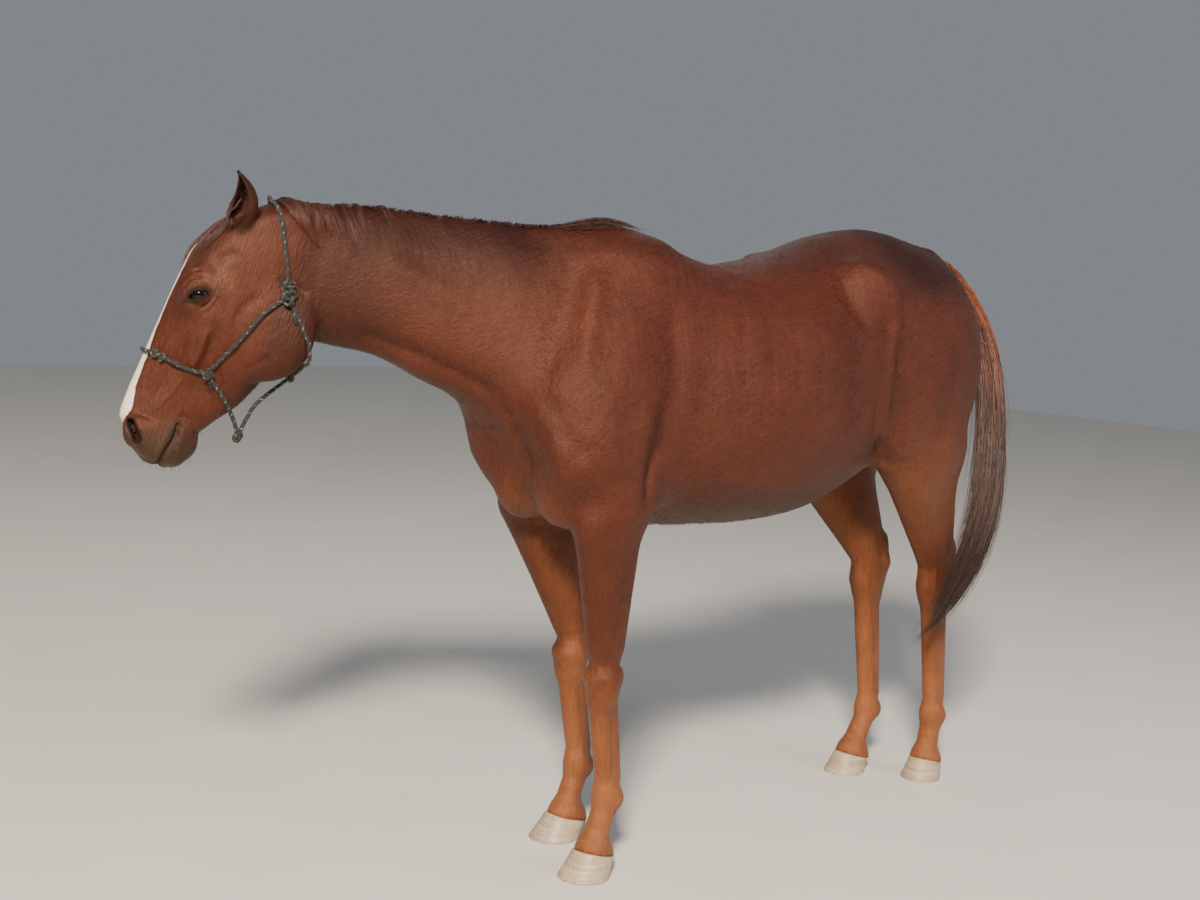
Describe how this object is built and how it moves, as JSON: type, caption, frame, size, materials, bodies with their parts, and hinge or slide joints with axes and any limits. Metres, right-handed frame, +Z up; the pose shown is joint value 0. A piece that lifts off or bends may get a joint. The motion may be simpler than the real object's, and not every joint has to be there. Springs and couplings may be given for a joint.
{
  "type": "horse",
  "caption": "Life-size still model of a standing chestnut riding horse in a knotted rope halter, head a little lowered and turned to its right.",
  "frame": {"origin": "on the floor, at the middle of the model's bounding box in X and Y", "axes": "+X towards the tail, -Y towards the horse's left side, +Z up"},
  "size_m": [2.4606, 0.723, 1.5379],
  "materials": {
    "coat": "short glossy red-brown summer coat, more orange on the lower legs, white stripe down the face",
    "long_hair": "long straight hair, red-brown at the roots and paler towards the tips",
    "hoof_horn": "unshod grey-beige horn, dry and dusty, with fine growth rings",
    "eye": "dark brown wet eyeball",
    "halter_rope": "braided dark green and grey cord with pale flecks"
  },
  "bodies": {
    "root": {"head": "coat", "neck": "coat", "trunk": "coat", "hindquarters": "coat", "foreleg_left_upper": "coat", "foreleg_left_lower": "coat", "foreleg_right_upper": "coat", "foreleg_right_lower": "coat", "hindleg_left_upper": "coat", "hindleg_left_lower": "coat", "hindleg_right_upper": "coat", "hindleg_right_lower": "coat", "ear_left": "coat", "ear_right": "coat", "mane": "long_hair", "forelock": "long_hair", "tail": "long_hair", "foreleg_left_hoof": "hoof_horn", "foreleg_right_hoof": "hoof_horn", "hindleg_left_hoof": "hoof_horn", "hindleg_right_hoof": "hoof_horn", "eye_left": "eye", "eye_right": "eye", "halter_knot_chin": "halter_rope", "halter_knot_jaw": "halter_rope", "halter_jaw": "halter_rope", "halter_knot_throat_left": "halter_rope", "halter_knot_throat_right": "halter_rope", "halter_knot_side_left": "halter_rope", "halter_knot_side_right": "halter_rope", "halter_knot_nose_left": "halter_rope", "halter_knot_nose_right": "halter_rope", "halter_crown_left": "halter_rope", "halter_crown_right": "halter_rope", "halter_cheek_left": "halter_rope", "halter_cheek_right": "halter_rope", "halter_noseband_left": "halter_rope", "halter_noseband_right": "halter_rope", "halter_chin_left": "halter_rope", "halter_chin_right": "halter_rope", "halter_throat_left": "halter_rope", "halter_throat_right": "halter_rope"}
  },
  "joints": []
}
